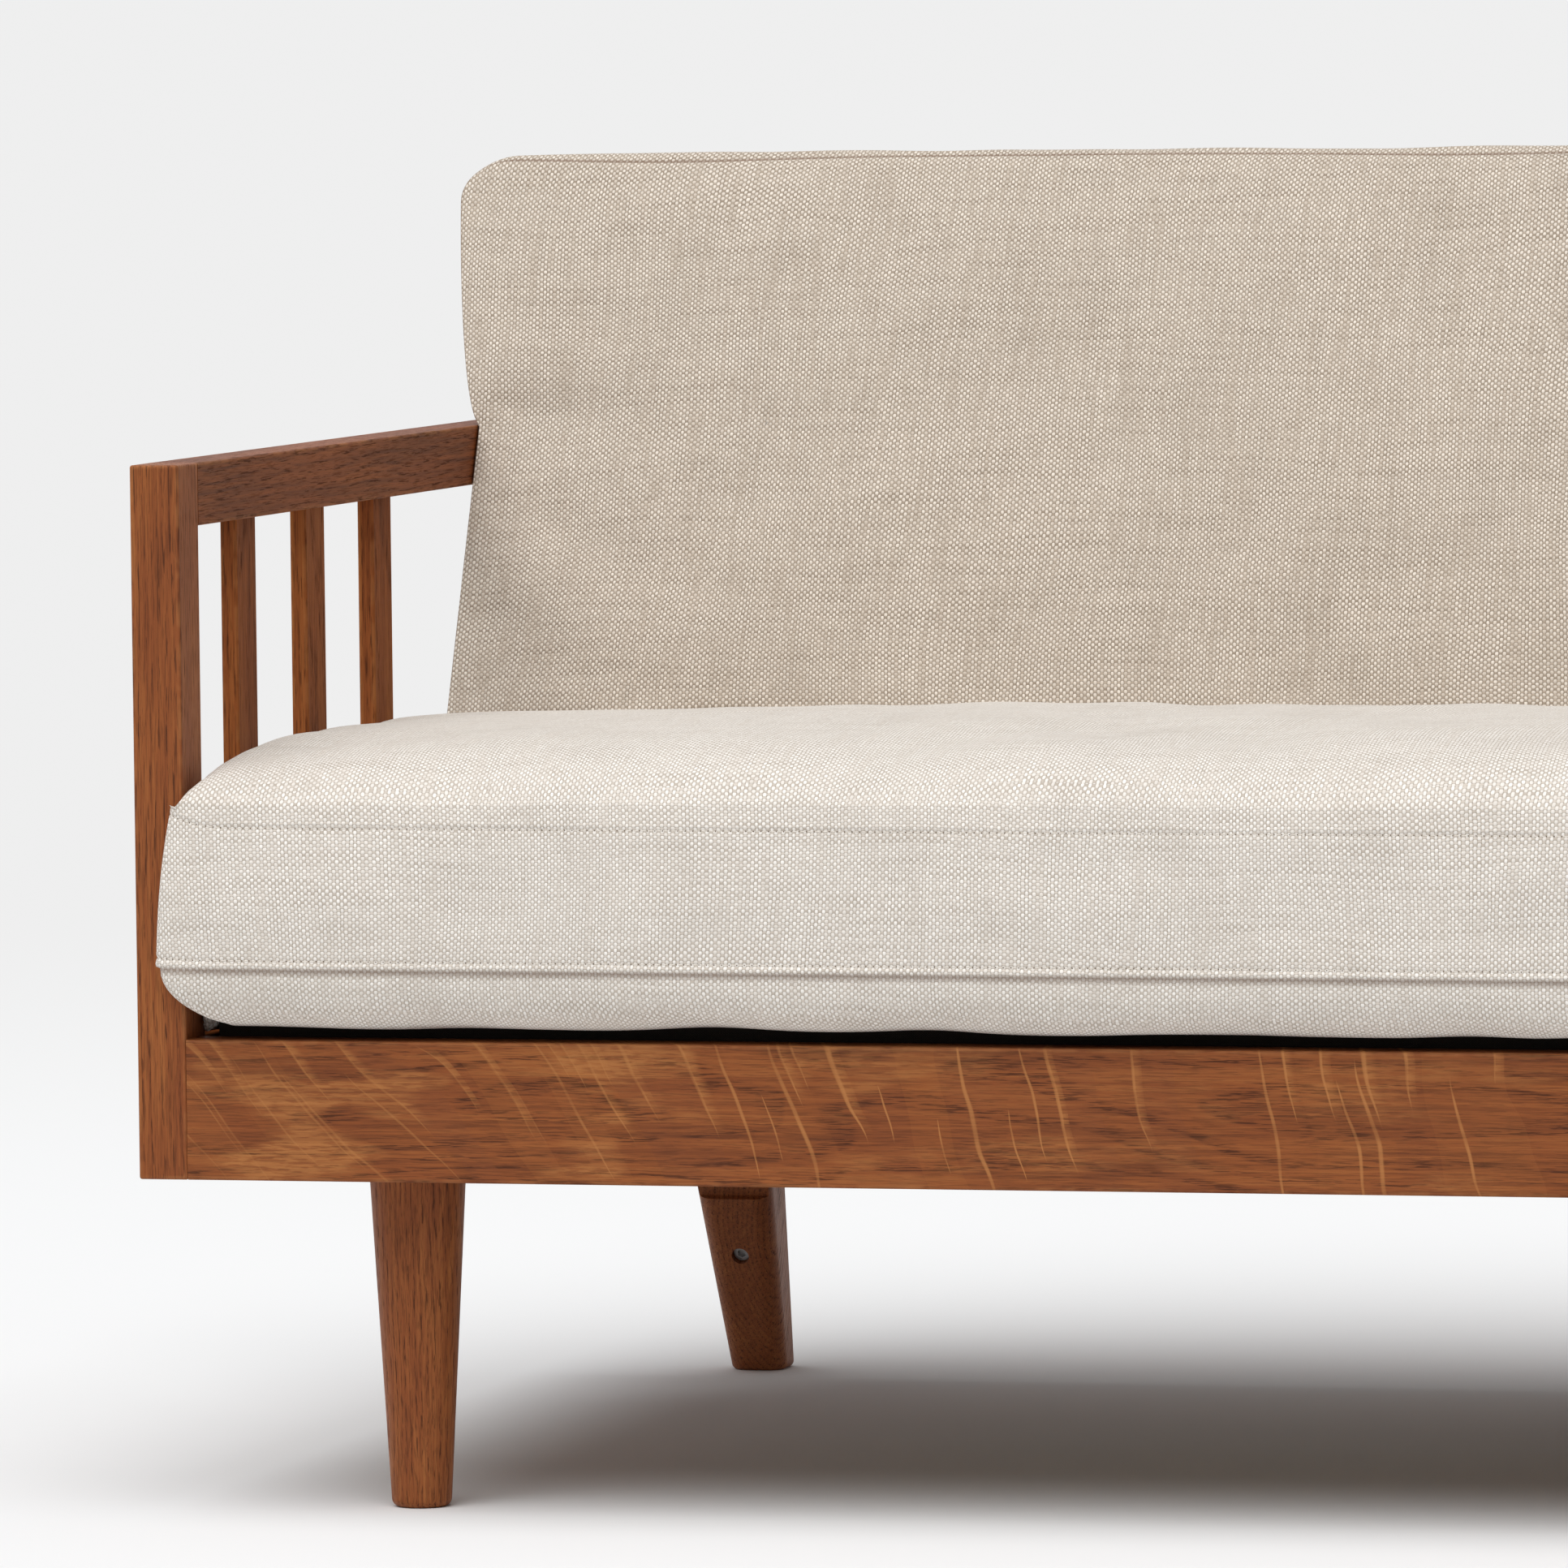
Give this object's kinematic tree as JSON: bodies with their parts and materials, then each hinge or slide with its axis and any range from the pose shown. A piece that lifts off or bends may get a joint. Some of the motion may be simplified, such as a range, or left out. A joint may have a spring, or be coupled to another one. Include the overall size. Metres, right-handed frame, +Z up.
{
  "type": "wooden sofa",
  "caption": "Long wooden sofa with slatted arms, a leaning slatted back, tapered legs, a webbed deck and loose linen seat and back cushions.",
  "frame": {"origin": "on the floor under the middle of the whole sofa's box", "axes": "+X along the sofa, +Y from front to back, +Z up"},
  "size_m": [1.9, 0.8742, 0.7666],
  "materials": {
    "stained_oak": "satin",
    "pale_batten": "matte",
    "seat_linen": "matte",
    "back_linen": "matte",
    "black_cloth": "matte",
    "jute_web": "matte",
    "zinc_steel": "satin"
  },
  "bodies": {
    "frame": {"back_bottom_rail": "stained_oak", "back_center_stile": "stained_oak", "back_screws": "zinc_steel", "back_top_rail": "stained_oak", "center_bearer": "stained_oak", "center_front_leg": "stained_oak", "center_rear_leg": "stained_oak", "deck_cover": "black_cloth", "deck_front_batten": "pale_batten", "deck_middle_batten": "pale_batten", "deck_rear_batten": "pale_batten", "deck_webbing": "jute_web", "frame_bolts": "zinc_steel", "front_rail": "stained_oak", "left_arm_rail": "stained_oak", "left_arm_slat_1": "stained_oak", "left_arm_slat_2": "stained_oak", "left_arm_slat_3": "stained_oak", "left_back_slat_1": "stained_oak", "left_back_slat_2": "stained_oak", "left_back_slat_3": "stained_oak", "left_back_slat_4": "stained_oak", "left_back_slat_5": "stained_oak", "left_back_stile": "stained_oak", "left_bearer": "stained_oak", "left_deck_end_batten": "pale_batten", "left_front_ledger": "pale_batten", "left_front_leg": "stained_oak", "left_front_post": "stained_oak", "left_rear_leg": "stained_oak", "left_rear_post": "stained_oak", "left_side_ledger": "pale_batten", "left_side_rail": "stained_oak", "leg_studs": "zinc_steel", "prop_rail": "stained_oak", "rear_leg_bolts": "zinc_steel", "rear_leg_sleeve_nuts": "zinc_steel", "rear_rail": "stained_oak", "right_arm_rail": "stained_oak", "right_arm_slat_1": "stained_oak", "right_arm_slat_2": "stained_oak", "right_arm_slat_3": "stained_oak", "right_back_slat_1": "stained_oak", "right_back_slat_2": "stained_oak", "right_back_slat_3": "stained_oak", "right_back_slat_4": "stained_oak", "right_back_slat_5": "stained_oak", "right_back_stile": "stained_oak", "right_bearer": "stained_oak", "right_deck_end_batten": "pale_batten", "right_front_ledger": "pale_batten", "right_front_leg": "stained_oak", "right_front_post": "stained_oak", "right_rear_leg": "stained_oak", "right_rear_post": "stained_oak", "right_side_ledger": "pale_batten", "right_side_rail": "stained_oak"},
    "seat_cushion": {"seat_cushion": "seat_linen"},
    "back_cushion": {"back_cushion": "back_linen"}
  },
  "joints": [
    {"name": "seat_cushion_pull", "type": "slide", "parent": "frame", "child": "seat_cushion", "axis": [0, -1, 0], "range_m": [0, 0.25]},
    {"name": "back_cushion_lift", "type": "slide", "parent": "frame", "child": "back_cushion", "axis": [0, 0.4147, 0.91], "range_m": [0, 0.3]}
  ]
}
